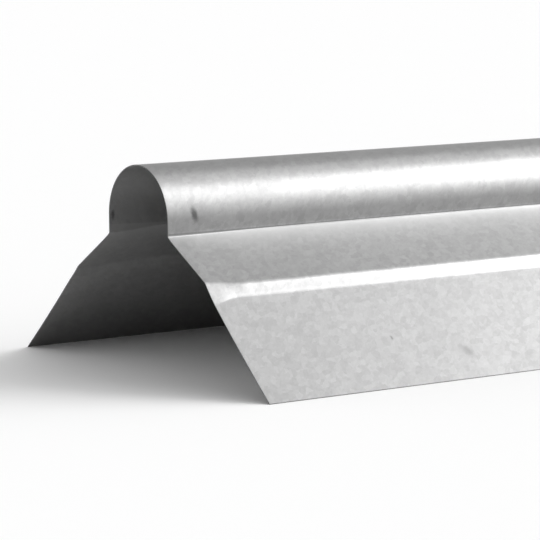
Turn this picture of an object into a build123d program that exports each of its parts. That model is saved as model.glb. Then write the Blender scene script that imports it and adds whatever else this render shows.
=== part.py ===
from build123d import *
import math
import os

# Roof ridge cap with a rolled crown, formed from one strip of galvanised sheet steel.
# The crown is a half-round roll on short upright sides. On each side of it an inner wing
# slopes down to a narrow, steeper step, and an outer wing runs on from the step to a plain
# cut edge that lies on the roof sheets. At both cut ends the step has sprung open: over a
# short end zone its two bends run apart, each along its own wing, and slacken.
#
# Frame: X across the ridge, Y along it, Z up. The origin is the middle of the floor that
# the two wing edges stand on. Millimetres and degrees throughout.

# Stock
CAP_LENGTH = 1800.0
SHEET_THICKNESS = 0.5

# Crown, on its outer face
ROLL_RADIUS = 31.25
ROLL_SIDE_HEIGHT = 6.5

# Wings, on their outer face from one bend corner to the next, each with its slope
INNER_WING_WIDTH = 47.8
INNER_WING_PITCH = 32.3
STEP_WIDTH = 8.8
STEP_PITCH = 64.0
OUTER_WING_WIDTH = 74.7
OUTER_WING_PITCH = 42.3

# Bends, on the hollow side of each
NECK_BEND_RADIUS = 1.0
STEP_BEND_RADIUS = 1.5

# End zones: how far the step's bends have moved along their wings at the cut, and the
# radius that they have slackened to there. Each zone is ruled from section to section.
END_ZONE_LENGTH = 22.0
END_ZONE_SPANS = 3
STEP_TOP_CLIMB = 5.0
STEP_FOOT_SLIDE = 5.0
SPRUNG_BEND_RADIUS = 10.0


def down_the_slope(start, width, pitch):
    """The point reached from start by going out and down a flat of this width and pitch."""
    run = width * math.cos(math.radians(pitch))
    drop = width * math.sin(math.radians(pitch))
    return (start[0] + run, start[1] - drop)


def outer_face_corners(opening=0.0):
    """Bend corners of the right half's outer face, from the roll's spring line to the edge.

    The opening is 0 where the step is as formed and 1 at a cut end. The corners are worked
    out from the neck as if it lay at height 0, then raised so that the sheet's lowest
    corner stands on the floor.
    """
    neck = (ROLL_RADIUS, 0.0)
    spring = (neck[0], neck[1] + ROLL_SIDE_HEIGHT)
    formed_top = down_the_slope(neck, INNER_WING_WIDTH, INNER_WING_PITCH)
    formed_foot = down_the_slope(formed_top, STEP_WIDTH, STEP_PITCH)
    edge = down_the_slope(formed_foot, OUTER_WING_WIDTH, OUTER_WING_PITCH)
    step_top = down_the_slope(formed_top, -opening * STEP_TOP_CLIMB, INNER_WING_PITCH)
    step_foot = down_the_slope(formed_foot, opening * STEP_FOOT_SLIDE, OUTER_WING_PITCH)
    floor = edge[1] - SHEET_THICKNESS * math.cos(math.radians(OUTER_WING_PITCH))
    return [(x, z - floor) for x, z in (spring, neck, step_top, step_foot, edge)]


def half_section(opening=0.0):
    """Right half of the sheet's section, with its height along the sketch's Y."""
    corners = outer_face_corners(opening)
    spring = corners[0]
    step_bend = STEP_BEND_RADIUS + opening * (SPRUNG_BEND_RADIUS - STEP_BEND_RADIUS)
    bend_radii = [NECK_BEND_RADIUS, step_bend + SHEET_THICKNESS, step_bend]
    with BuildSketch() as section:
        with BuildLine():
            CenterArc((0.0, spring[1]), ROLL_RADIUS, 90.0, -90.0)
            FilletPolyline(*corners, radius=bend_radii)
            offset(amount=SHEET_THICKNESS, side=Side.RIGHT)
        make_face()
    return section.sketch


def ridge_cap():
    """The whole cap: the front of its right half, copied to the back and then to the left.

    The step opens with the square of the way through the end zone, slowly where it leaves
    the formed length and fastest at the cut.
    """
    formed_reach = CAP_LENGTH / 2.0 - END_ZONE_LENGTH
    with BuildPart() as cap:
        for station in range(END_ZONE_SPANS + 1):
            way = station / END_ZONE_SPANS
            with BuildSketch(Plane.XZ.offset(formed_reach + way * END_ZONE_LENGTH)):
                add(half_section(way**2))
        loft(ruled=True)
        with BuildSketch(Plane.XZ):
            add(half_section())
        extrude(amount=formed_reach)
        mirror(about=Plane.XZ)
        mirror(about=Plane.YZ)
    return cap.part


os.makedirs("parts", exist_ok=True)
export_step(ridge_cap(), "parts/ridge_cap.step")
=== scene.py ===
"""Roof ridge cap: one strip of galvanised steel sheet, rolled at the crown and folded at the wings.

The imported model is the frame, and the sheet is built again over it with finer bends, the slack of
its flats and the finish of its zinc. Sizes are millimetres and degrees until a mesh or a node is
written, which is in metres. X is across the ridge, Y along it and Z up. The near cut, which the
camera looks into, is at the low end of Y.
"""
import logging
import math
import random
from dataclasses import dataclass, field
from enum import Enum

import bpy
from mathutils import Matrix, Vector


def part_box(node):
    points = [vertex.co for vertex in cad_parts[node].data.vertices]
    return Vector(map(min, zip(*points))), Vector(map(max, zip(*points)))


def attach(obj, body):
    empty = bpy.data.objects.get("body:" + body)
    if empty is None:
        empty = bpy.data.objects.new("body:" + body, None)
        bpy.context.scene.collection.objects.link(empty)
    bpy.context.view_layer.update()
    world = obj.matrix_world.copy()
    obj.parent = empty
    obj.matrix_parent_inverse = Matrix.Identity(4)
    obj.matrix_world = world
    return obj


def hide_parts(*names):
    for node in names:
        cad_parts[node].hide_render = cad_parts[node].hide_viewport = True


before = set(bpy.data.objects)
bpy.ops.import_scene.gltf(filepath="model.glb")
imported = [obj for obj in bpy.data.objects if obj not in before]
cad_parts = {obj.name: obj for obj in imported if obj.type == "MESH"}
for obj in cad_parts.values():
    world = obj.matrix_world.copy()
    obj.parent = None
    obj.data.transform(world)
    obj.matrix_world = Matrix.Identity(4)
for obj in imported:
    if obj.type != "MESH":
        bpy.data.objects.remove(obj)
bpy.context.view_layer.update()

LOG = logging.getLogger("ridge_cap")
MM = 0.001
CAD_NODE = "ridge_cap"
BODY = "root"
SEED = 12
Point = tuple[float, float]
Settings = dict[str, object]
Tree = bpy.types.NodeTree
Socket = bpy.types.NodeSocket

# Each point of the sheet carries its place on the flat blank and its distance from the nearest
# cut edge.
PLACE = "blank_place"
CUT_GAP = "cut_gap"

# The hollow face's blank lies this far beside the weather face's, so that no pattern repeats.
HOLLOW_BLANK = 900.0

# Share of a flat's width, either side of a point, over which its direction is taken.
HEADING_STEP = 0.001

# Sockets of the Mix node, which has the same names for its numbers and its colours.
MIX_SHARE = 0
NUMBER_A = 2
NUMBER_B = 3
COLOUR_A = 6
COLOUR_B = 7
COLOUR_OUT = 2


def linear(hex_colour: str) -> tuple[float, float, float, float]:
    """Turns a colour written as sRGB hex into linear light, by the sRGB standard's own numbers.

    Args:
        hex_colour: Six hex digits after a hash mark.

    Returns:
        Red, green, blue and an alpha of 1.
    """
    levels = [int(hex_colour[i:i + 2], 16) / 255.0 for i in (1, 3, 5)]
    light = [v / 12.92 if v <= 0.04045 else ((v + 0.055) / 1.055) ** 2.4 for v in levels]
    return (light[0], light[1], light[2], 1.0)


def add_node(tree: Tree, kind: str, settings: Settings | None = None,
             inputs: dict[str | int, object] | None = None) -> bpy.types.Node:
    """Adds a node with its settings, and sets or links its inputs.

    Args:
        tree: The node tree that it goes into.
        kind: Blender's name for the node's type.
        settings: Its own properties by name.
        inputs: A value, or an output socket to link from, for each input by name or number.

    Returns:
        The new node.
    """
    node = tree.nodes.new(kind)
    for name, value in (settings or {}).items():
        setattr(node, name, value)
    for socket, value in (inputs or {}).items():
        if isinstance(value, Socket):
            tree.links.new(value, node.inputs[socket])
        else:
            node.inputs[socket].default_value = value
    return node


def new_material(name: str) -> bpy.types.Material:
    """Makes a material whose node tree is still empty.

    Args:
        name: Its name.

    Returns:
        The material.
    """
    material = bpy.data.materials.new(name)
    material.use_nodes = True
    material.node_tree.nodes.clear()
    return material


def put_in_scene(name: str, data: bpy.types.ID) -> bpy.types.Object:
    """Makes an object and links it to the scene.

    Args:
        name: Its name.
        data: The mesh, lamp or camera that it shows.

    Returns:
        The object.
    """
    thing = bpy.data.objects.new(name, data)
    bpy.context.scene.collection.objects.link(thing)
    return thing


class Face(Enum):
    """The surfaces of the sheet, by their material slot on the mesh."""

    WEATHER = 0
    HOLLOW = 1
    SHEARED = 2


class Half(Enum):
    """The two halves of the cap, with X positive to the right."""

    RIGHT = "right"
    LEFT = "left"


@dataclass(frozen=True)
class Fade:
    """A smooth change of a share with the distance from a line on the sheet.

    Attributes:
        start: Distance at which the change starts.
        end: Distance at which it ends.
        first: The share up to the start.
        last: The share from the end on.
    """

    start: float
    end: float
    first: float = 0.0
    last: float = 1.0


def faded(tree: Tree, share: Socket | float, distance: Socket, *fades: Fade) -> Socket:
    """Multiplies a share by each of a finish's fades in turn.

    Args:
        tree: The material's nodes.
        share: The share before the fades.
        distance: The distance that the fades go by, in metres.
        fades: At least one fade.

    Returns:
        The share after them.
    """
    for fade in fades:
        change = add_node(tree, "ShaderNodeMapRange", {"interpolation_type": "SMOOTHSTEP"}, {
            "Value": distance, "From Min": fade.start * MM, "From Max": fade.end * MM,
            "To Min": fade.first, "To Max": fade.last})
        share = add_node(tree, "ShaderNodeMath", {"operation": "MULTIPLY"},
                         {0: share, 1: change.outputs[0]}).outputs[0]
    return share


@dataclass(frozen=True)
class Mark:
    """A dark mark on the zinc, placed on the flat blank that the cap was formed from.

    Attributes:
        across: Distance from the crown line, positive to the right, plus HOLLOW_BLANK on the
            hollow face.
        along: Distance from the middle of the cap's length.
        half_length: Half its length.
        half_width: Half its width.
        turn: Angle of its length from straight across the sheet.
        depth: Share of the light that it takes away at its middle.
    """

    across: float
    along: float
    half_length: float
    half_width: float
    turn: float
    depth: float


@dataclass(frozen=True)
class HotDipGalvanisedZinc:
    """Hot-dip galvanised zinc on cold-rolled steel sheet, skin-passed to a semi-matt finish.

    The zinc froze on the sheet in small crystals, each with its own tilt and its own bite of
    grey, and light rolling dulled them. The eye sees a soft mirror with a fine mottle, in
    which a lamp is a broad blurred band.

    Attributes:
        name: The material's name.
        light_grain: The palest crystals, of bright zinc.
        dark_grain: The darkest crystals, where the zinc has dulled.
        painted_sheen_grey: A paler grey that paints a sheen, a painted reflection, on the inner
            wings.
        roughness: Roughness of a middling crystal.
        roughness_spread: Most that a crystal's roughness differs from it.
        grain_mm: Width of a crystal. Small spangle is 1 to 2 mm and too fine to show in the
            render, so it is drawn twice as coarse.
        fine_grain_mm: Width of the frost inside a crystal, drawn coarser for the same reason.
        frost_share: Share of a crystal's grey that comes from its frost.
        grain_slant: Angle from straight across the sheet at which the crystals are narrowest.
        grain_stretch: How much longer they are the other way, as the bath's flow drew them.
        grain_tilt: Most that a crystal leans aside, as a share of its normal.
        roll_mottle: Share of the mottle that bending left on the roll.
        roll_shade: The shade that bending pulled the roll's crystals towards.
        roll_blend: Width above the neck over which the roll's look turns into the wings'.
        cloud_mm: Width of the clouds that lie over many crystals.
        cloud_share: Share of the grey that comes from the clouds.
        cloud_detail: How many times a cloud breaks up into smaller ones.
        chatter_mm: Pitch of the fine flutes that the forming rolls left along the cap.
        chatter_squeeze: Their pitch as a share of their length across the sheet.
        chatter_detail: How many times a flute breaks up into smaller ones.
        chatter_roughness: Height of those as a share of the flute's.
        chatter_height: Height of the flutes on the roll.
        wing_chatter: Share of that height on the wings.
        edge_dark_mm: Width of the darker line along each cut.
        edge_left: Share of light that the line leaves.
        neck_across: Distance of the neck from the crown line, round the sheet.
        neck_blend: Half the width over which the painted sheen starts there.
        top_across: The same distance for the top of the step.
        top_blend: Half the width over which the painted sheen ends there.
        sheen_reach: Distance from the neck over which the painted sheen falls to a third.
        sheen_far: Share of the painted sheen that doesn't fall.
        sheen_at_cut: Share of the painted sheen at a cut.
        cut_reach: Distance from a cut from which it is whole.
        side_painted_shade: Share of light taken away by painted shade low on the roll's sides.
        side_shade_from: Distance from the crown line at which it starts.
        side_shade_to: Distance at which it is at its darkest.
        side_shade_end: Width above the neck over which it ends again.
        fold_painted_shade: Share of light that painted shade in the neck's crease takes away.
        fold_shade_mm: Width of that painted shade on either side of the neck.
        outer_shade_grey: A flat darker grey, painted shade that also evens the mottle.
        outer_shade: Share of it on the outer wings.
        outer_shade_blend: Width below the top of the step over which it sets in.
        marks: The dark marks.
        mark_core: Share of a mark's reach over which it is at its darkest.
    """

    name: str
    light_grain: str = "#acacac"
    dark_grain: str = "#888888"
    # A paler grey that paints a sheen, a painted reflection, on the inner wings.
    painted_sheen_grey: str = "#b8b8b8"
    roughness: float = 0.325
    roughness_spread: float = 0.012
    grain_mm: float = 3.2
    fine_grain_mm: float = 1.5
    frost_share: float = 0.38
    grain_slant: float = 42.0
    grain_stretch: float = 1.5
    grain_tilt: float = 0.003
    roll_mottle: float = 0.62
    roll_shade: float = 0.5
    roll_blend: float = 8.0
    cloud_mm: float = 22.0
    cloud_share: float = 0.42
    cloud_detail: float = 3.0
    chatter_mm: float = 4.0
    chatter_squeeze: float = 0.12
    chatter_detail: float = 4.0
    chatter_roughness: float = 0.6
    chatter_height: float = 0.06
    wing_chatter: float = 0.06
    edge_dark_mm: float = 0.8
    edge_left: float = 0.92
    neck_across: float = 56.05
    neck_blend: float = 0.4
    top_across: float = 103.6
    top_blend: float = 2.0
    # How the painted sheen falls away from the neck and near the cuts.
    sheen_reach: float = 10.0
    sheen_far: float = 0.17
    sheen_at_cut: float = 0.7
    cut_reach: float = 45.0
    # Painted shade on the roll's lower sides, above the neck.
    side_painted_shade: float = 0.16
    side_shade_from: float = 38.0
    side_shade_to: float = 49.0
    side_shade_end: float = 2.2
    # Painted shade along the crease of the neck.
    fold_painted_shade: float = 0.42
    fold_shade_mm: float = 1.1
    # Painted shade on the outer wings, which also evens their mottle.
    outer_shade_grey: str = "#8b8b8b"
    outer_shade: float = 0.35
    outer_shade_blend: float = 8.0
    marks: tuple[Mark, ...] = ()
    mark_core: float = 0.2

    def build(self) -> bpy.types.Material:
        """Makes the material.

        Returns:
            The finished node material.
        """
        material = new_material(self.name)
        tree = material.node_tree
        blank = add_node(tree, "ShaderNodeAttribute", {"attribute_name": PLACE})
        place = self.ragged_place(tree, blank.outputs["Vector"])
        drawn = add_node(tree, "ShaderNodeMapping", {"vector_type": "TEXTURE"}, {
            "Vector": place, "Rotation": (0.0, 0.0, math.radians(self.grain_slant)),
            "Scale": (1.0, self.grain_stretch, 1.0)})
        grain = add_node(tree, "ShaderNodeTexVoronoi", {}, {
            "Vector": drawn.outputs[0], "Scale": 1.0 / (self.grain_mm * MM)})
        crystal = add_node(tree, "ShaderNodeSeparateColor", {}, {0: grain.outputs["Color"]})
        across = self.distance_across(tree, blank.outputs["Vector"])
        shade = self.grain_shade(tree, drawn.outputs[0], crystal.outputs[0], across)
        # Layers: the crystals' grey, a painted sheen on inner wings, painted shade on outer wings.
        colour = linear(self.dark_grain)
        for share, layer in ((shade, self.light_grain),
                             (self.painted_sheen(tree, across), self.painted_sheen_grey),
                             (self.outer_wing_shade(tree, across), self.outer_shade_grey)):
            colour = add_node(tree, "ShaderNodeMix", {"data_type": "RGBA"}, {
                MIX_SHARE: share, COLOUR_A: colour,
                COLOUR_B: linear(layer)}).outputs[COLOUR_OUT]
        # Darkened by the marks, a line along the cuts and painted shade.
        dirt_and_shade_colour = add_node(tree, "ShaderNodeMix", {"data_type": "RGBA", "blend_type": "MULTIPLY"}, {
            MIX_SHARE: 1.0, COLOUR_A: colour, COLOUR_B: self.dirt_and_painted_shade(tree, place, across)})
        rough = add_node(tree, "ShaderNodeMapRange", {}, {
            "Value": crystal.outputs[1], "To Min": self.roughness + self.roughness_spread,
            "To Max": self.roughness - self.roughness_spread})
        zinc = add_node(tree, "ShaderNodeBsdfPrincipled", {}, {
            "Base Color": dirt_and_shade_colour.outputs[COLOUR_OUT], "Metallic": 1.0,
            "Roughness": rough.outputs[0],
            "Normal": self.facets(tree, place, grain.outputs["Color"], across)})
        add_node(tree, "ShaderNodeOutputMaterial", {}, {"Surface": zinc.outputs["BSDF"]})
        return material

    def ragged_place(self, tree: Tree, place: Socket) -> Socket:
        """Moves the places a little to and fro, so that no crystal or mark has a straight side.

        Args:
            tree: The material's nodes.
            place: The place on the blank.

        Returns:
            The moved place.
        """
        wander = add_node(tree, "ShaderNodeTexNoise", {},
                          {"Vector": place, "Scale": 1.0 / (self.fine_grain_mm * MM)})
        shift = add_node(tree, "ShaderNodeVectorMath", {"operation": "MULTIPLY_ADD"}, {
            0: wander.outputs["Color"], 1: (self.fine_grain_mm * MM,) * 3,
            2: (-self.fine_grain_mm * MM / 2.0,) * 3})
        moved = add_node(tree, "ShaderNodeVectorMath", {"operation": "ADD"},
                         {0: place, 1: shift.outputs[0]})
        return moved.outputs[0]

    def distance_across(self, tree: Tree, blank: Socket) -> Socket:
        """Measures how far a place is from the crown line, alike on both halves.

        Args:
            tree: The material's nodes.
            blank: The place on the blank.

        Returns:
            The distance, in metres.
        """
        split = add_node(tree, "ShaderNodeSeparateXYZ", {}, {0: blank})
        across = add_node(tree, "ShaderNodeMath", {"operation": "ABSOLUTE"}, {0: split.outputs[0]})
        return across.outputs[0]

    def grain_shade(self, tree: Tree, place: Socket, crystal: Socket, across: Socket) -> Socket:
        """Gives each crystal its grey, with clouds over many of them and fine frost inside.

        Args:
            tree: The material's nodes.
            place: The place in the crystals' pattern.
            crystal: A random number for each crystal.
            across: Distance from the crown line, because bending the roll dulled its crystals.

        Returns:
            The shade from 0, darkest, to 1, lightest.
        """
        frost = add_node(tree, "ShaderNodeTexVoronoi", {},
                         {"Vector": place, "Scale": 1.0 / (self.fine_grain_mm * MM)})
        flake = add_node(tree, "ShaderNodeSeparateColor", {}, {0: frost.outputs["Color"]})
        cloud = add_node(tree, "ShaderNodeTexNoise", {}, {
            "Vector": place, "Scale": 1.0 / (self.cloud_mm * MM), "Detail": self.cloud_detail})
        frosted = add_node(tree, "ShaderNodeMix", {}, {
            MIX_SHARE: self.frost_share, NUMBER_A: crystal, NUMBER_B: flake.outputs[0]})
        mottle = faded(tree, 1.0, across, Fade(self.neck_across - self.roll_blend,
                                               self.neck_across, self.roll_mottle, 1.0))
        dulled = add_node(tree, "ShaderNodeMix", {}, {
            MIX_SHARE: mottle, NUMBER_A: self.roll_shade, NUMBER_B: frosted.outputs[0]})
        clouded = add_node(tree, "ShaderNodeMix", {}, {
            MIX_SHARE: self.cloud_share, NUMBER_A: dulled.outputs[0],
            NUMBER_B: cloud.outputs["Fac"]})
        return clouded.outputs[0]

    def painted_sheen(self, tree: Tree, across: Socket) -> Socket:
        """Paints a sheen, a painted reflection, on the inner wings, strongest at the neck.

        Args:
            tree: The material's nodes.
            across: Distance from the crown line.

        Returns:
            The share of the painted sheen, 1 at the neck and less near the sprung cuts.
        """
        past_neck = add_node(tree, "ShaderNodeMath", {"operation": "MULTIPLY_ADD"}, {
            0: across, 1: -1.0 / (self.sheen_reach * MM),
            2: self.neck_across / self.sheen_reach})
        dying = add_node(tree, "ShaderNodeMath", {"operation": "EXPONENT"},
                         {0: past_neck.outputs[0]})
        sheen = add_node(tree, "ShaderNodeMath", {"operation": "MULTIPLY_ADD"}, {
            0: dying.outputs[0], 1: 1.0 - self.sheen_far, 2: self.sheen_far})
        gap = add_node(tree, "ShaderNodeAttribute", {"attribute_name": CUT_GAP})
        sheen_by_cut = faded(tree, sheen.outputs[0], gap.outputs["Fac"],
                          Fade(0.0, self.cut_reach, self.sheen_at_cut, 1.0))
        return faded(
            tree, sheen_by_cut, across,
            Fade(self.neck_across - self.neck_blend, self.neck_across + self.neck_blend),
            Fade(self.top_across - self.top_blend, self.top_across + self.top_blend, 1.0, 0.0))

    def outer_wing_shade(self, tree: Tree, across: Socket) -> Socket:
        """Gives the share of painted shade on the outer wings, which also evens their mottle."""
        start = self.top_across
        return faded(tree, 1.0, across, Fade(start, start + self.outer_shade_blend, 0.0, self.outer_shade))

    def facets(self, tree: Tree, place: Socket, crystal: Socket, across: Socket) -> Socket:
        """Tilts each crystal a little, and flutes the roll across the sheet where it was bent.

        Args:
            tree: The material's nodes.
            place: The place on the blank.
            crystal: A random colour for each crystal.
            across: Distance from the crown line.

        Returns:
            The shading normal.
        """
        surface = add_node(tree, "ShaderNodeNewGeometry")
        lean = add_node(tree, "ShaderNodeVectorMath", {"operation": "MULTIPLY_ADD"}, {
            0: crystal, 1: (2.0 * self.grain_tilt,) * 3, 2: (-self.grain_tilt,) * 3})
        tilted = add_node(tree, "ShaderNodeVectorMath", {"operation": "ADD"},
                          {0: surface.outputs["Normal"], 1: lean.outputs[0]})
        normal = add_node(tree, "ShaderNodeVectorMath", {"operation": "NORMALIZE"},
                          {0: tilted.outputs[0]})
        squeezed = add_node(tree, "ShaderNodeVectorMath", {"operation": "MULTIPLY"},
                            {0: place, 1: (self.chatter_squeeze, 1.0, 1.0)})
        chatter = add_node(tree, "ShaderNodeTexNoise", {}, {
            "Vector": squeezed.outputs[0], "Scale": 1.0 / (self.chatter_mm * MM),
            "Detail": self.chatter_detail, "Roughness": self.chatter_roughness})
        height = faded(tree, chatter.outputs["Fac"], across,
                       Fade(self.neck_across - self.roll_blend, self.neck_across, 1.0,
                            self.wing_chatter))
        bump = add_node(tree, "ShaderNodeBump", {}, {
            "Strength": 1.0, "Distance": self.chatter_height * MM, "Height": height,
            "Normal": normal.outputs[0]})
        return bump.outputs[0]

    def dirt_and_painted_shade(self, tree: Tree, place: Socket, across: Socket) -> Socket:
        """Darkens cut edges and marks, and paints shade on the roll's sides and in the neck.

        Args:
            tree: The material's nodes.
            place: The place on the blank, made ragged.
            across: Distance from the crown line.

        Returns:
            The share of light that is left, from 0 to 1.
        """
        gap = add_node(tree, "ShaderNodeAttribute", {"attribute_name": CUT_GAP})
        neck = self.neck_across
        side_shade_left = 1.0 - self.side_painted_shade
        fold_shade_left = 1.0 - self.fold_painted_shade
        # Painted shade that ends at a line is undone there by a fade to the inverse of what it
        # left.
        edge_darkened = faded(tree, 1.0, gap.outputs["Fac"],
                        Fade(0.0, self.edge_dark_mm, self.edge_left, 1.0))
        left = faded(tree, edge_darkened, across,
                     Fade(self.side_shade_from, self.side_shade_to, 1.0, side_shade_left),
                     Fade(neck - self.side_shade_end, neck, 1.0, 1.0 / side_shade_left),
                     Fade(neck - self.fold_shade_mm, neck, 1.0, fold_shade_left),
                     Fade(neck, neck + self.fold_shade_mm, 1.0, 1.0 / fold_shade_left))
        return self.darkened_at_marks(tree, place, left)

    def darkened_at_marks(self, tree: Tree, place: Socket, left: Socket) -> Socket:
        """Darkens the zinc at each mark; the roll's mark is painted shade of a dent.

        Args:
            tree: The material's nodes.
            place: The place on the blank, made ragged.
            left: The share of light that other dirt leaves.

        Returns:
            The share that is left after the marks too.
        """
        for mark in self.marks:
            near = add_node(tree, "ShaderNodeMapping", {"vector_type": "TEXTURE"}, {
                "Vector": place, "Location": (mark.across * MM, mark.along * MM, 0.0),
                "Rotation": (0.0, 0.0, math.radians(mark.turn)),
                "Scale": (mark.half_length * MM, mark.half_width * MM, 1.0)})
            reach = add_node(tree, "ShaderNodeVectorMath", {"operation": "LENGTH"},
                             {0: near.outputs[0]})
            mark_darkening = add_node(tree, "ShaderNodeMapRange", {"interpolation_type": "SMOOTHSTEP"}, {
                "Value": reach.outputs["Value"], "From Min": self.mark_core,
                "To Min": 1.0 - mark.depth, "To Max": 1.0})
            left = add_node(tree, "ShaderNodeMath", {"operation": "MULTIPLY"},
                            {0: left, 1: mark_darkening.outputs[0]}).outputs[0]
        return left


@dataclass(frozen=True)
class LightenedHollowZinc(HotDipGalvanisedZinc):
    """The same zinc on the hollow face, in paler greys: painted light in the hollow.

    It is rougher, less of a mirror, so the hollow looks evenly grey, and painted shade
    darkens it towards the wings' lower edges.

    Attributes:
        hollow_shade: Share of light that painted shade takes away at most.
        hollow_shade_from: Distance from the crown line at which it starts.
        hollow_shade_to: Distance at which it would be at its darkest, past the wings' edges.
    """

    # Paler greys than the weather face's, painted light in the hollow, with its painted sheen.
    light_grain: str = "#d2d2d2"
    dark_grain: str = "#b9b9b9"
    painted_sheen_grey: str = "#d8d8d8"
    roughness: float = 0.45
    outer_shade: float = 0.0
    # Painted shade, darker towards the wings' lower edges.
    hollow_shade: float = 0.5
    hollow_shade_from: float = 100.0
    hollow_shade_to: float = 195.0

    def distance_across(self, tree: Tree, blank: Socket) -> Socket:
        """Measures the distance from the crown line, in metres, on the hollow face's blank."""
        back = add_node(tree, "ShaderNodeVectorMath", {"operation": "SUBTRACT"},
                        {0: blank, 1: (HOLLOW_BLANK * MM, 0.0, 0.0)})
        return super().distance_across(tree, back.outputs[0])

    def dirt_and_painted_shade(self, tree: Tree, place: Socket, across: Socket) -> Socket:
        """Gives the share of light left by painted shade low on the wings and by the marks."""
        hollow_shading = Fade(self.hollow_shade_from, self.hollow_shade_to, 1.0, 1.0 - self.hollow_shade)
        return self.darkened_at_marks(tree, place, faded(tree, 1.0, across, hollow_shading))


@dataclass(frozen=True)
class ShearedSteel:
    """Bare cold-rolled steel where the shear cut the sheet: a torn, dull, darker grey line.

    Attributes:
        name: The material's name.
        colour: Its dull grey.
        roughness: Its roughness.
        tear_mm: Pitch of the tear marks. Real ones are about 0.1 mm and too fine to show, so
            they are drawn four times as coarse.
        tear_height: Their height.
        tear_strength: Share of that height which shading shows.
    """

    name: str = "sheared_steel"
    colour: str = "#7c7c7c"
    roughness: float = 0.5
    tear_mm: float = 0.4
    tear_height: float = 0.05
    tear_strength: float = 0.6

    def build(self) -> bpy.types.Material:
        """Makes the material.

        Returns:
            The finished node material.
        """
        material = new_material(self.name)
        tree = material.node_tree
        place = add_node(tree, "ShaderNodeTexCoord")
        tear = add_node(tree, "ShaderNodeTexNoise", {}, {
            "Vector": place.outputs["Object"], "Scale": 1.0 / (self.tear_mm * MM)})
        bump = add_node(tree, "ShaderNodeBump", {}, {
            "Strength": self.tear_strength, "Distance": self.tear_height * MM,
            "Height": tear.outputs["Fac"]})
        steel = add_node(tree, "ShaderNodeBsdfPrincipled", {}, {
            "Base Color": linear(self.colour), "Metallic": 1.0, "Roughness": self.roughness,
            "Normal": bump.outputs[0]})
        add_node(tree, "ShaderNodeOutputMaterial", {}, {"Surface": steel.outputs["BSDF"]})
        return material


@dataclass(frozen=True)
class MattWhiteFloor:
    """Matt white emulsion on a smooth studio floor: even, without gloss."""

    name: str = "matt_white_floor"
    colour: str = "#f8f8f8"

    def build(self) -> bpy.types.Material:
        """Makes the material.

        Returns:
            The finished node material.
        """
        material = new_material(self.name)
        tree = material.node_tree
        paint = add_node(tree, "ShaderNodeBsdfDiffuse", {}, {"Color": linear(self.colour)})
        add_node(tree, "ShaderNodeOutputMaterial", {}, {"Surface": paint.outputs[0]})
        return material


def unit(start: Point, end: Point) -> Point:
    """Gives the direction from one point to another as a unit vector."""
    length = math.dist(start, end)
    return ((end[0] - start[0]) / length, (end[1] - start[1]) / length)


def turn_between(toward: Point, away: Point) -> float:
    """Gives the angle in radians between two unit directions."""
    return math.acos(max(-1.0, min(1.0, toward[0] * away[0] + toward[1] * away[1])))


def between(low: float, high: float, way: float) -> float:
    """Gives the value at a share of the way from low to high."""
    return low + (high - low) * way


def dying_away(distance: float, reach: float) -> float:
    """Gives 1 at no distance, which falls on a bell curve to about a third at the reach."""
    return math.exp(-((distance / reach) ** 2))


def arc(start: Point, toward: Point, away: Point, radius: float, steps: int) -> list[Point]:
    """Samples the round of a bend, with its start and without its end.

    Args:
        start: Where the bend starts.
        toward: Direction of travel there.
        away: Direction of travel at its end.
        radius: Its radius on this face.
        steps: Number of pieces.

    Returns:
        The points.
    """
    side = math.copysign(1.0, toward[0] * away[1] - toward[1] * away[0])
    turn = turn_between(toward, away)
    inward = (-toward[1] * side, toward[0] * side)
    points = []
    for i in range(steps):
        angle = turn * i / steps
        ahead = radius * math.sin(angle)
        aside = radius * (1.0 - math.cos(angle))
        points.append((start[0] + toward[0] * ahead + inward[0] * aside,
                       start[1] + toward[1] * ahead + inward[1] * aside))
    return points


@dataclass(frozen=True)
class Flat:
    """A flat of the section between two bend corners, bowed a little towards the hollow.

    Attributes:
        start: Bend corner where it starts.
        end: Bend corner where it ends.
        kick: Extra slope where it starts, which dies away along it.
        kick_reach: Distance over which the extra slope falls to a third.
        sag: Depth of an even bow over its whole width, at its middle.
    """

    start: Point
    end: Point
    kick: float = 0.0
    kick_reach: float = 1.0
    sag: float = 0.0

    def width(self) -> float:
        """Gives the distance between its corners."""
        return math.dist(self.start, self.end)

    def at(self, way: float) -> Point:
        """Gives a point on it.

        Args:
            way: Share of its width from its start.

        Returns:
            The point, on the bowed line.
        """
        span = self.width() / self.kick_reach
        dying = 1.0 - math.exp(-span * way) - (1.0 - math.exp(-span)) * way
        # 4 x (1 - x) is 1 at the middle of the flat and 0 at its corners.
        bow = math.radians(self.kick) * self.kick_reach * dying + 4.0 * self.sag * way * (1.0 - way)
        ahead = unit(self.start, self.end)
        run = self.width() * way
        return (self.start[0] + ahead[0] * run + ahead[1] * bow,
                self.start[1] + ahead[1] * run - ahead[0] * bow)

    def heading(self, way: float) -> Point:
        """Gives its direction at a share of its width from its start."""
        return unit(self.at(way - HEADING_STEP), self.at(way + HEADING_STEP))


@dataclass(frozen=True)
class Opening:
    """How far the section has opened at one station of one half.

    Attributes:
        top: 0 where the step's top bend is as formed, 1 where it has climbed to, at a cut.
        foot: The same for its foot bend, which has slid down.
        neck: The same for the neck's height, which has dropped.
        fold: The same for the steep start of the inner wing, which has shortened.
        flare: The same for the roll's side and the wing below it, which have spread.
        kick: Extra slope of the inner wing at the neck.
        sag: Depth of the outer wing's bow.
    """

    top: float
    foot: float
    neck: float
    fold: float
    flare: float
    kick: float
    sag: float


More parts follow.
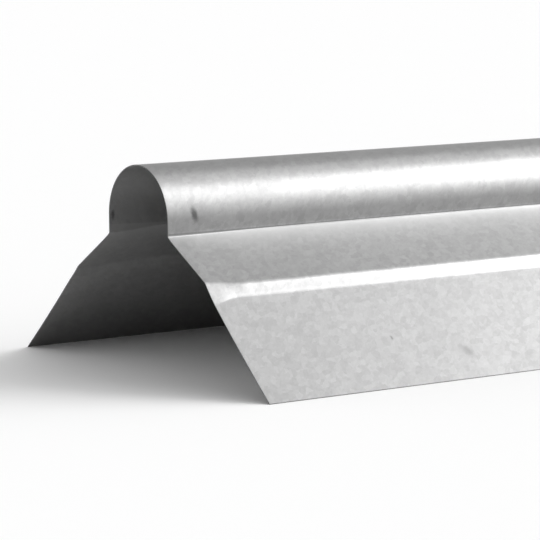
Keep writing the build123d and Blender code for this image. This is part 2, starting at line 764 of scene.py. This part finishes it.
@dataclass(frozen=True)
class CapSection:
    """The right half of the cap's section, measured on its outer face.

    Its corners lie within two millimetres of the solid's, or within four where the cap is flared.
    The step's two bends are as soft as rolling leaves them, and below the neck the inner wing is
    still bending: it starts steeper and eases off.

    Attributes:
        roll_radius: Radius of the half-round roll.
        roll_side_height: Height of the upright side that it stands on.
        inner_wing_width: Width of the wing above the step.
        inner_wing_pitch: Its slope.
        step_width: Width of the steeper step.
        step_pitch: Its slope.
        outer_wing_width: Width of the wing below the step.
        outer_wing_pitch: Its slope.
        sheet_thickness: Thickness of the sheet.
        neck_bend_radius: Radius of the bend between the roll's side and the inner wing.
        step_top_radius: Radius of the bend at the top of the step.
        step_foot_radius: Radius of the bend at its foot.
        sprung_step_radius: Radius of both at a cut.
        sprung_neck_drop: Most that the neck has dropped at a cut.
        step_top_climb: Most that the top of the step has moved up the inner wing.
        step_foot_slide: Most that its foot has moved down the outer wing.
        step_dish: Depth of the step's bow at a cut.
        flare_out: Most that the flared half's roll side has moved out.
        flare_neck_drop: Most that its neck has dropped.
        flare_top_drop: Most that its step's top has dropped.
        flare_foot_drop: Most that its step's foot has dropped.
        neck_kick: Extra slope of the inner wing at the neck.
        neck_kick_reach: Distance over which it falls to a third.
        sprung_kick_reach: The same distance at a cut.
        roll_steps: Number of pieces that the quarter round of the roll is drawn in.
        flat_steps: The same for each flat, from the roll's side outward.
        bend_steps: The same for each bend.
    """

    roll_radius: float = 31.25
    roll_side_height: float = 7.0
    inner_wing_width: float = 47.58
    inner_wing_pitch: float = 31.88
    step_width: float = 7.25
    step_pitch: float = 62.85
    outer_wing_width: float = 75.95
    outer_wing_pitch: float = 42.72
    sheet_thickness: float = 0.5
    neck_bend_radius: float = 0.6
    step_top_radius: float = 5.7
    step_foot_radius: float = 9.6
    sprung_step_radius: float = 6.0
    sprung_neck_drop: float = 0.9
    step_top_climb: float = 3.4
    step_foot_slide: float = 5.0
    step_dish: float = 0.25
    flare_out: float = 1.2
    flare_neck_drop: float = 2.9
    flare_top_drop: float = 3.6
    flare_foot_drop: float = 1.2
    neck_kick: float = 15.4
    neck_kick_reach: float = 10.0
    sprung_kick_reach: float = 2.0
    roll_steps: int = 36
    flat_steps: tuple[int, ...] = (3, 28, 5, 30)
    bend_steps: tuple[int, ...] = (6, 8, 8)

    def down(self, start: Point, width: float, pitch: float) -> Point:
        """Gives the point reached from a start by going out and down a slope."""
        angle = math.radians(pitch)
        return (start[0] + width * math.cos(angle), start[1] - width * math.sin(angle))

    def flats(self, opening: Opening) -> list[Flat]:
        """Places the section's flats, from the roll's spring line to the wing's edge.

        The corners are worked out from the neck as if it lay at height 0, then raised so that
        the sheet's lowest corner stands on the floor.

        Args:
            opening: How far the section has opened there.

        Returns:
            The roll's upright side, the inner wing, the step and the outer wing.
        """
        formed_neck = (self.roll_radius, 0.0)
        formed_top = self.down(formed_neck, self.inner_wing_width, self.inner_wing_pitch)
        formed_foot = self.down(formed_top, self.step_width, self.step_pitch)
        edge = self.down(formed_foot, self.outer_wing_width, self.outer_wing_pitch)
        neck_out = self.roll_radius + opening.flare * self.flare_out
        neck_drop = opening.neck * self.sprung_neck_drop
        climb = opening.top * self.step_top_climb
        slide = opening.foot * self.step_foot_slide
        spring = (neck_out, self.roll_side_height)
        neck = (neck_out, -neck_drop - opening.flare * self.flare_neck_drop)
        top = self.down(formed_top, -climb, self.inner_wing_pitch)
        top = (top[0], top[1] - opening.flare * self.flare_top_drop)
        foot = self.down(formed_foot, slide, self.outer_wing_pitch)
        foot = (foot[0], foot[1] - opening.flare * self.flare_foot_drop)
        outward = Flat(foot, edge, sag=opening.sag).heading(1.0)[0]
        floor = edge[1] - self.sheet_thickness * outward
        spring, neck, top, foot, edge = ((x, z - floor) for x, z in (spring, neck, top, foot, edge))
        kick_reach = between(self.neck_kick_reach, self.sprung_kick_reach, opening.fold)
        return [Flat(spring, neck), Flat(neck, top, opening.kick, kick_reach),
                Flat(top, foot, sag=opening.foot * self.step_dish),
                Flat(foot, edge, sag=opening.sag)]

    def outline(self, opening: Opening) -> list[Point]:
        """Samples the section from the crown down to the wing's edge.

        Args:
            opening: How far the section has opened there.

        Returns:
            Points on the outer face, as many at every station.
        """
        flats = self.flats(opening)
        radii = (self.neck_bend_radius,
                 between(self.step_top_radius, self.sprung_step_radius, opening.top),
                 between(self.step_foot_radius, self.sprung_step_radius, opening.foot))
        spring = flats[0].start
        points = []
        for i in range(self.roll_steps):
            angle = math.pi / 2.0 * i / self.roll_steps
            points.append((spring[0] * math.sin(angle),
                           spring[1] + self.roll_radius * math.cos(angle)))
        first = 0.0
        for flat, after, radius, steps, bend_steps in zip(
                flats, flats[1:], radii, self.flat_steps, self.bend_steps):
            toward = flat.heading(1.0)
            away = after.heading(0.0)
            reach = radius * math.tan(turn_between(toward, away) / 2.0)
            last = 1.0 - reach / flat.width()
            points.extend(flat.at(between(first, last, i / steps)) for i in range(steps))
            points.extend(arc(flat.at(last), toward, away, radius, bend_steps))
            first = reach / after.width()
        steps = self.flat_steps[-1]
        points.extend(flats[-1].at(between(first, 1.0, i / steps)) for i in range(steps + 1))
        return points


@dataclass
class Unevenness:
    """A slow rise and fall along the length, as sheet has after forming and handling.

    Attributes:
        rng: The shared random source.
        longest: Longest wave.
        waves: Number of waves added up.
        shortening: How many times shorter each wave is than the last.
        least: Smallest share of its length that a wave is drawn at.
        most: Largest share.
        parts: Length and phase of each wave.
    """

    rng: random.Random
    longest: float = 420.0
    waves: int = 5
    shortening: float = 1.6
    least: float = 0.85
    most: float = 1.15
    parts: list[tuple[float, float]] = field(init=False, default_factory=list)

    def __post_init__(self) -> None:
        """Draws the waves' lengths and phases."""
        for i in range(self.waves):
            length = self.longest / self.shortening ** i * self.rng.uniform(self.least, self.most)
            self.parts.append((length, self.rng.uniform(0.0, math.tau)))

    def at(self, along: float) -> float:
        """Gives the height there, from 0 to 1."""
        total = sum(math.sin(math.tau * along / length + phase) for length, phase in self.parts)
        return 0.5 + 0.5 * total / self.waves


@dataclass
class RidgeCap:
    """The ridge cap: one formed sheet, with its two faces and its sheared edges.

    Attributes:
        section: Its section.
        weather_finish: Finish of its outer face.
        hollow_finish: Finish of its inner face.
        sheared_finish: Finish of its cut edges.
        rng: The random source that every wave is drawn from.
        end_zone: Length at each cut over which the step has sprung open.
        end_station: Spacing of the stations there.
        near_zone: Distance from a cut up to which the stations are still close.
        near_station: Their spacing.
        middle_station: Spacing of the stations in between.
        foot_lag: Power by which the step's foot opens later than its top.
        neck_open_reach: Distance from a cut over which the neck's drop falls to a third.
        fold_open_reach: The same for the shortening of the inner wing's steep start.
        flared_half: The half that is flared at the near cut.
        flare_reach: Distance from that cut over which the flare falls to a third.
        kick_spread: Most that the inner wing's extra slope varies along the cap, as a share.
        outer_sag: Least bow of an outer wing.
        outer_sag_spread: Most that is added to it along the cap.
        cut_slack: What is added to it at a cut.
        cut_slack_reach: Distance from a cut over which that falls to a third.
        length: Length of the solid.
        inner_waves: Waves of each half's inner wing.
        outer_waves: Waves of each half's outer wing.
    """

    section: CapSection
    weather_finish: HotDipGalvanisedZinc
    hollow_finish: LightenedHollowZinc
    sheared_finish: ShearedSteel
    rng: random.Random
    end_zone: float = 22.0
    end_station: float = 1.0
    near_zone: float = 90.0
    near_station: float = 4.0
    middle_station: float = 16.0
    foot_lag: float = 1.5
    neck_open_reach: float = 55.0
    fold_open_reach: float = 30.0
    flared_half: Half = Half.LEFT
    flare_reach: float = 30.0
    kick_spread: float = 0.15
    outer_sag: float = 0.1
    outer_sag_spread: float = 0.25
    cut_slack: float = 0.25
    cut_slack_reach: float = 32.0
    length: float = field(init=False)
    inner_waves: dict[Half, Unevenness] = field(init=False)
    outer_waves: dict[Half, Unevenness] = field(init=False)

    def __post_init__(self) -> None:
        """Takes the length from the frame and draws the waves of each flat."""
        low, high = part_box(CAD_NODE)
        self.length = (high.y - low.y) / MM
        self.inner_waves = {half: Unevenness(self.rng) for half in Half}
        self.outer_waves = {half: Unevenness(self.rng) for half in Half}

    def stations(self) -> list[float]:
        """Places along the cap, close together near the cuts, where its bends open.

        Returns:
            Distances from the middle, in order.
        """
        middle = self.length / 2.0
        marks = (0.0, self.end_zone, self.near_zone, middle)
        pitches = (self.end_station, self.near_station, self.middle_station)
        front = []
        for low, high, pitch in zip(marks, marks[1:], pitches):
            count = math.ceil((high - low) / pitch)
            front.extend(between(low, high, i / count) - middle for i in range(count))
        return front + [0.0] + [-along for along in reversed(front)]

    def half_outline(self, along: float, half: Half) -> list[Point]:
        """Outer face of one half at a station.

        Args:
            along: Distance from the middle of the length.
            half: Which half.

        Returns:
            Its points from the crown to the edge, as if it were the right half.
        """
        from_cut = self.length / 2.0 - abs(along)
        top = max(0.0, 1.0 - from_cut / self.end_zone)
        swing = 2.0 * self.inner_waves[half].at(along) - 1.0
        sag = self.outer_sag + self.outer_sag_spread * self.outer_waves[half].at(along)
        flared = half is self.flared_half and along < 0.0
        return self.section.outline(Opening(
            top=top,
            foot=top ** self.foot_lag,
            neck=dying_away(from_cut, self.neck_open_reach),
            fold=dying_away(from_cut, self.fold_open_reach),
            flare=dying_away(from_cut, self.flare_reach) if flared else 0.0,
            kick=self.section.neck_kick * (1.0 + self.kick_spread * swing),
            sag=sag + self.cut_slack * dying_away(from_cut, self.cut_slack_reach)))

    def row(self, along: float) -> tuple[list[Vector], list[Vector], list[float]]:
        """Both faces of the sheet at a station.

        Args:
            along: Distance from the middle of the length.

        Returns:
            Outer points and inner points from left edge to right edge, and for each its
            distance across the blank from the crown line, all in millimetres.
        """
        right = self.half_outline(along, Half.RIGHT)
        left = [(-x, z) for x, z in reversed(self.half_outline(along, Half.LEFT))]
        outer = left[:-1] + right
        across = [0.0]
        for a, b in zip(outer, outer[1:]):
            across.append(across[-1] + math.dist(a, b))
        crown = across[len(left) - 1]
        thick = self.section.sheet_thickness
        inner = []
        for j, (x, z) in enumerate(outer):
            ahead = unit(outer[max(j - 1, 0)], outer[min(j + 1, len(outer) - 1)])
            inner.append(Vector((x + ahead[1] * thick, along, z - ahead[0] * thick)))
        return [Vector((x, along, z)) for x, z in outer], inner, [a - crown for a in across]

    def build(self) -> bpy.types.Object:
        """Builds the sheet as one closed mesh and puts it on the frame.

        Returns:
            The mesh object.
        """
        stations = self.stations()
        points, blank, gaps = [], [], []
        for along in stations:
            outer, inner, across = self.row(along)
            reach = max(across)
            for line, shift in ((outer, 0.0), (inner, HOLLOW_BLANK)):
                for point, place in zip(line, across):
                    points.append(point * MM)
                    blank.extend(((place + shift) * MM, along * MM, 0.0))
                    gaps.append(min(self.length / 2.0 - abs(along), reach - abs(place)) * MM)
        faces, kinds = self.faces(len(stations), len(points) // len(stations) // 2)
        mesh = bpy.data.meshes.new("ridge_cap_sheet")
        mesh.from_pydata(points, [], faces)
        mesh.attributes.new(PLACE, "FLOAT_VECTOR", "POINT").data.foreach_set("vector", blank)
        mesh.attributes.new(CUT_GAP, "FLOAT", "POINT").data.foreach_set("value", gaps)
        mesh.polygons.foreach_set("material_index", [kind.value for kind in kinds])
        mesh.polygons.foreach_set("use_smooth", [kind is not Face.SHEARED for kind in kinds])
        rim = {key for face, kind in zip(mesh.polygons, kinds) if kind is Face.SHEARED
               for key in face.edge_keys}
        mesh.edges.foreach_set("use_edge_sharp", [edge.key in rim for edge in mesh.edges])
        mesh.update()
        sheet = put_in_scene("ridge_cap_sheet", mesh)
        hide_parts(CAD_NODE)
        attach(sheet, BODY)
        return sheet

    def faces(self, rows: int, width: int) -> tuple[list[tuple[int, ...]], list[Face]]:
        """Joins the rows of points into the sheet's faces.

        Args:
            rows: Number of stations.
            width: Number of points across each face.

        Returns:
            The faces, wound outward, and what each is.
        """
        def out(i: int, j: int) -> int:
            """Number of a point on the outer face."""
            return i * 2 * width + j

        def hollow(i: int, j: int) -> int:
            """Number of the point behind it, on the inner face."""
            return out(i, j) + width

        faces, kinds = [], []
        last, edge = rows - 1, width - 1
        for i in range(last):
            for j in range(edge):
                faces.append((out(i, j), out(i, j + 1), out(i + 1, j + 1), out(i + 1, j)))
                faces.append((hollow(i, j), hollow(i + 1, j), hollow(i + 1, j + 1),
                              hollow(i, j + 1)))
                kinds.extend((Face.WEATHER, Face.HOLLOW))
            faces.append((out(i, 0), out(i + 1, 0), hollow(i + 1, 0), hollow(i, 0)))
            faces.append((out(i, edge), hollow(i, edge), hollow(i + 1, edge), out(i + 1, edge)))
            kinds.extend((Face.SHEARED, Face.SHEARED))
        for j in range(edge):
            faces.append((out(0, j), hollow(0, j), hollow(0, j + 1), out(0, j + 1)))
            faces.append((out(last, j), out(last, j + 1), hollow(last, j + 1), hollow(last, j)))
            kinds.extend((Face.SHEARED, Face.SHEARED))
        return faces, kinds

    def dress(self, sheet: bpy.types.Object) -> None:
        """Puts the finishes on the sheet that build made, in the order of the Face slots."""
        for finish in (self.weather_finish, self.hollow_finish, self.sheared_finish):
            sheet.data.materials.append(finish.build())


@dataclass(frozen=True)
class SoftSun:
    """A broad even lamp, far enough away to light the whole floor alike.

    Attributes:
        name: Its object's name.
        toward: Direction from the cap to the lamp.
        spread: Angle across it as the cap sees it.
        radiance: Its brightness, where 1 is white.
    """

    name: str
    toward: tuple[float, float, float]
    spread: float
    radiance: float

    def build(self) -> bpy.types.Object:
        """Makes the lamp, with the power that gives its disc that brightness.

        Returns:
            The lamp.
        """
        light = bpy.data.lights.new(self.name, "SUN")
        light.angle = math.radians(self.spread)
        light.energy = self.radiance * math.pi * math.sin(light.angle / 2.0) ** 2
        lamp = put_in_scene(self.name, light)
        lamp.rotation_mode = "QUATERNION"
        lamp.rotation_quaternion = Vector(self.toward).to_track_quat("Z", "Y")
        return lamp


@dataclass(frozen=True)
class Studio:
    """A white floor in a grey room, with one broad key lamp and a weak fill.

    Attributes:
        floor_finish: Finish of the floor.
        lamps: The lamps, with the key lamp first.
        floor_metres: Width of the floor, in metres.
        floor_gap: Gap between the floor and the cap's edges.
        horizon: Colour of the room at the floor's edge.
        room: Colour of its walls away from the key lamp.
        room_by_key: Colour of its walls round the key lamp.
        horizon_top: Angle above level up to which the room has the horizon's colour.
        room_bottom: Angle above level from which it has the walls' colours.
    """

    floor_finish: MattWhiteFloor
    lamps: tuple[SoftSun, ...]
    floor_metres: float = 90.0
    floor_gap: float = 0.02
    horizon: str = "#f8f8f8"
    room: str = "#a8a8a8"
    room_by_key: str = "#fdfdfd"
    horizon_top: float = 2.0
    room_bottom: float = 12.0

    def build_floor(self) -> bpy.types.Object:
        """Lays the floor just under the cap's edges.

        Returns:
            The floor.
        """
        half = self.floor_metres / 2.0
        low = -self.floor_gap * MM
        mesh = bpy.data.meshes.new("studio_floor")
        mesh.from_pydata([(-half, -half, low), (half, -half, low), (half, half, low),
                          (-half, half, low)], [], [(0, 1, 2, 3)])
        mesh.materials.append(self.floor_finish.build())
        floor = put_in_scene("studio_floor", mesh)
        return floor

    def build_room(self) -> bpy.types.World:
        """Makes the room's light: grey, paler round the key lamp, and white at the floor's edge.

        Returns:
            The world.
        """
        world = bpy.data.worlds.new("grey_room")
        world.use_nodes = True
        tree = world.node_tree
        tree.nodes.clear()
        place = add_node(tree, "ShaderNodeTexCoord")
        split = add_node(tree, "ShaderNodeSeparateXYZ", {}, {0: place.outputs["Generated"]})
        rise = add_node(tree, "ShaderNodeMapRange", {"interpolation_type": "SMOOTHSTEP"}, {
            "Value": split.outputs["Z"], "From Min": math.sin(math.radians(self.horizon_top)),
            "From Max": math.sin(math.radians(self.room_bottom))})
        toward_key = add_node(tree, "ShaderNodeVectorMath", {"operation": "DOT_PRODUCT"}, {
            0: place.outputs["Generated"], 1: Vector(self.lamps[0].toward).normalized()})
        walls = add_node(tree, "ShaderNodeMix", {"data_type": "RGBA", "clamp_factor": True}, {
            MIX_SHARE: toward_key.outputs["Value"], COLOUR_A: linear(self.room),
            COLOUR_B: linear(self.room_by_key)})
        colour = add_node(tree, "ShaderNodeMix", {"data_type": "RGBA"}, {
            MIX_SHARE: rise.outputs[0], COLOUR_A: linear(self.horizon),
            COLOUR_B: walls.outputs[COLOUR_OUT]})
        light = add_node(tree, "ShaderNodeBackground", {},
                         {"Color": colour.outputs[COLOUR_OUT], "Strength": 1.0})
        add_node(tree, "ShaderNodeOutputWorld", {}, {"Surface": light.outputs[0]})
        bpy.context.scene.world = world
        return world


@dataclass(frozen=True)
class PhotoCamera:
    """The camera at the photograph's angle, worked out from the cap's own edges.

    Attributes:
        place: Where it stands.
        swing: Angle of its view from straight along the ridge, towards the left.
        look_down: Angle of its view below level.
        lean: Turn about its own view, clockwise.
        focal_pixels: Focal length in pixels of the frame.
        frame_pixels: Width of the frame in pixels.
        sensor: Width of the sensor.
        clip_metres: Distance up to which it sees, in metres.
    """

    place: tuple[float, float, float] = (1326.0, -1734.6, 255.8)
    swing: float = 55.05
    look_down: float = 7.127
    lean: float = -0.467
    focal_pixels: float = 2730.4
    frame_pixels: float = 540.0
    sensor: float = 36.0
    clip_metres: float = 200.0

    def build(self) -> bpy.types.Object:
        """Makes the camera and gives it to the scene.

        Returns:
            The camera.
        """
        swing, dive, lean = (math.radians(a) for a in (self.swing, self.look_down, self.lean))
        ahead = Vector((-math.sin(swing) * math.cos(dive), math.cos(swing) * math.cos(dive),
                        -math.sin(dive)))
        level = ahead.cross(Vector((0.0, 0.0, 1.0))).normalized()
        upright = level.cross(ahead)
        right = math.cos(lean) * level + math.sin(lean) * upright
        up = math.cos(lean) * upright - math.sin(lean) * level
        turned = Matrix((right, up, -ahead)).transposed().to_4x4()
        data = bpy.data.cameras.new("photo_camera")
        data.sensor_width = self.sensor
        data.lens = self.focal_pixels / self.frame_pixels * self.sensor
        data.clip_end = self.clip_metres
        camera = put_in_scene("photo_camera", data)
        camera.matrix_world = Matrix.Translation(Vector(self.place) * MM) @ turned
        bpy.context.scene.camera = camera
        return camera


WEATHER_MARKS = (
    # The first mark, on the roll, is painted shade of a small dent that the sheet doesn't have.
    Mark(across=45.2, along=-881.8, half_length=6.5, half_width=3.1, turn=16.0, depth=0.62),
    Mark(across=151.5, along=-796.8, half_length=1.9, half_width=1.2, turn=0.0, depth=0.4),
    Mark(across=167.0, along=-750.8, half_length=8.5, half_width=4.4, turn=32.0, depth=0.2))
HOLLOW_MARKS = (
    Mark(across=HOLLOW_BLANK - 50.4, along=-897.5, half_length=4.2, half_width=1.7, turn=0.0,
         depth=0.5),)
KEY_DIRECTION = (0.314, 0.825, 0.470)
LAMPS = (
    SoftSun("key_lamp", KEY_DIRECTION, spread=43.7, radiance=4.1),
    SoftSun("key_wrap", KEY_DIRECTION, spread=82.6, radiance=0.6),
    SoftSun("fill_lamp", (-0.6, -0.6, 0.5), spread=56.0, radiance=0.3))


def main() -> None:
    """Builds the cap, the studio and the camera, and reports each."""
    logging.basicConfig(level=logging.INFO, format="%(name)s: %(message)s")
    bpy.context.scene.view_settings.view_transform = "Standard"
    camera = PhotoCamera().build()
    LOG.info("%s: %.0f mm lens", camera.name, camera.data.lens)
    weather = HotDipGalvanisedZinc("galvanised_weather_face", marks=WEATHER_MARKS)
    hollow = LightenedHollowZinc("galvanised_hollow_face", marks=HOLLOW_MARKS)
    cap = RidgeCap(CapSection(), weather, hollow, ShearedSteel(), random.Random(SEED))
    sheet = cap.build()
    cap.dress(sheet)
    LOG.info("%s: %d faces", sheet.name, len(sheet.data.polygons))
    studio = Studio(MattWhiteFloor(), LAMPS)
    floor = studio.build_floor()
    room = studio.build_room()
    LOG.info("%s in %s", floor.name, room.name)
    for lamp in studio.lamps:
        lamp.build()
        LOG.info("%s: %.1f degrees across", lamp.name, lamp.spread)


if __name__ == "__main__":
    main()
